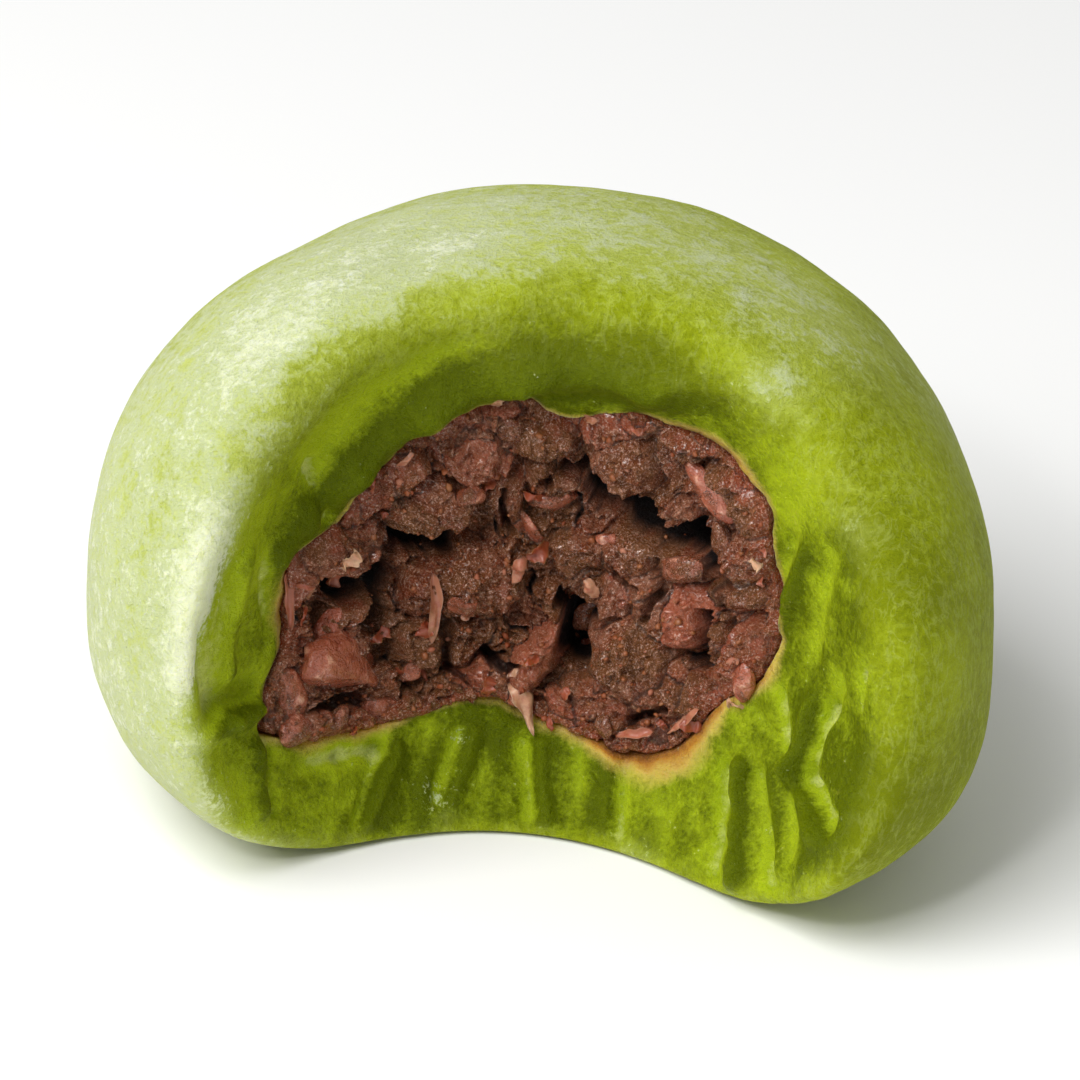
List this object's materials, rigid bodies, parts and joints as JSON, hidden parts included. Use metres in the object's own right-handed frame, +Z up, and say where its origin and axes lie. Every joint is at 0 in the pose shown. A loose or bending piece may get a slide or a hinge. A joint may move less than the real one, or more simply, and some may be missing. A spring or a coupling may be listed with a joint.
{
  "type": "bitten rice cake",
  "caption": "Soft round rice cake with a green matcha skin, bitten open at the front to show its coarse red bean filling.",
  "frame": {"origin": "centre of the box around the cake, on the flat underside", "axes": "+Z up, the bite opens towards -Y, +X to the right of someone who faces the bite"},
  "size_m": [0.0564, 0.0474, 0.0379],
  "materials": {
    "matcha_rice_dough": "matt, dusted with starch",
    "red_bean_paste": "moist, coarse"
  },
  "bodies": {
    "root": {"rice_skin": "matcha_rice_dough", "bean_filling": "red_bean_paste"}
  },
  "joints": []
}
